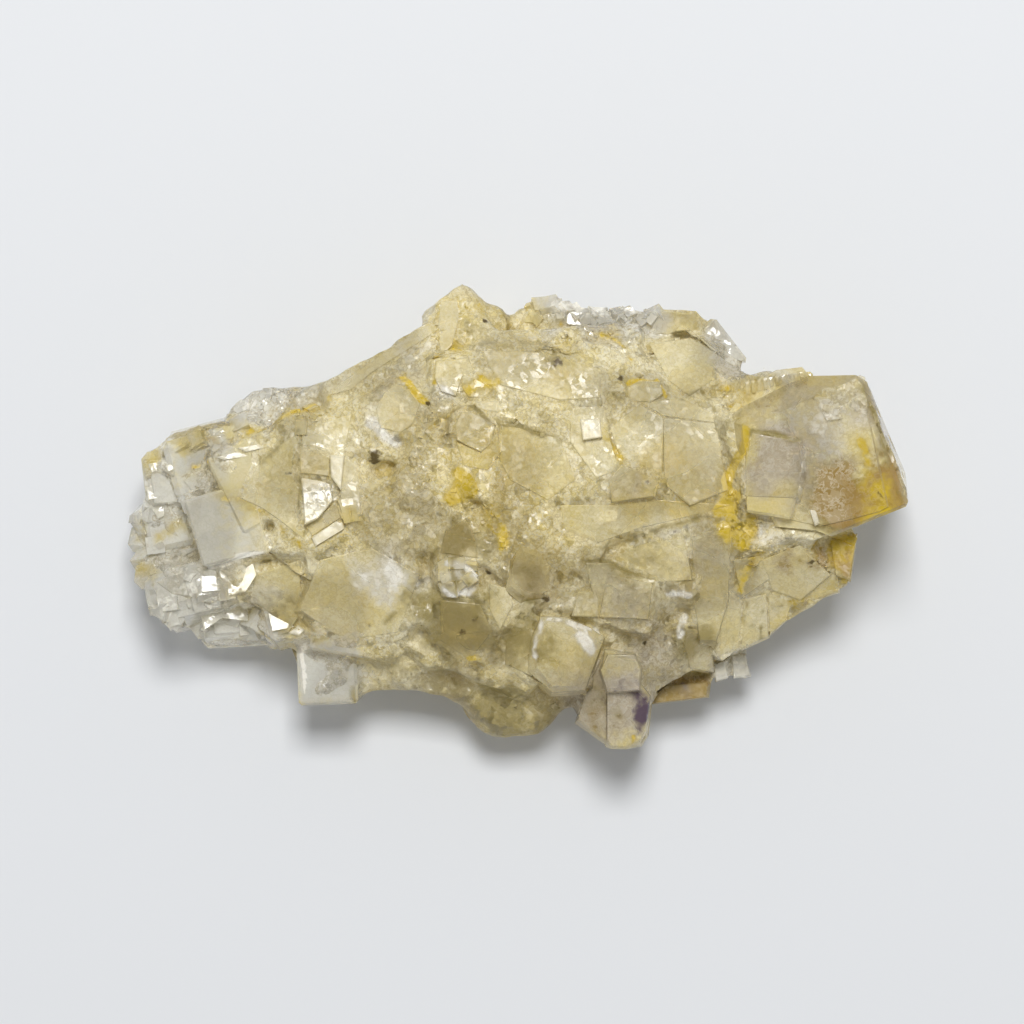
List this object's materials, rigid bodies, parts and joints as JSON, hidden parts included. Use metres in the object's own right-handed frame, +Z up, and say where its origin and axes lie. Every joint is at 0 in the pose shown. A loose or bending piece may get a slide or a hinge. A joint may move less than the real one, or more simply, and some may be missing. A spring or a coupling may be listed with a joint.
{
  "type": "fluorite specimen",
  "caption": "Cabinet-size fluorite specimen: pale yellow cubic crystals grown together on a massive root, lying on its flat broken back.",
  "frame": {"origin": "under the middle of the box round the whole specimen, on the surface it rests on", "axes": "+X along the specimen's length, from the clear glassy end towards the great lavender-grey cube; +Y across it, towards the peak; +Z up, out of the crystal side"},
  "size_m": [0.094, 0.056, 0.0271],
  "materials": {
    "fluorite": "glossy, cloudy pale yellow, clear at the left end, amber in the crevices"
  },
  "bodies": {
    "root": {"fluorite_cluster": "fluorite"}
  },
  "joints": []
}
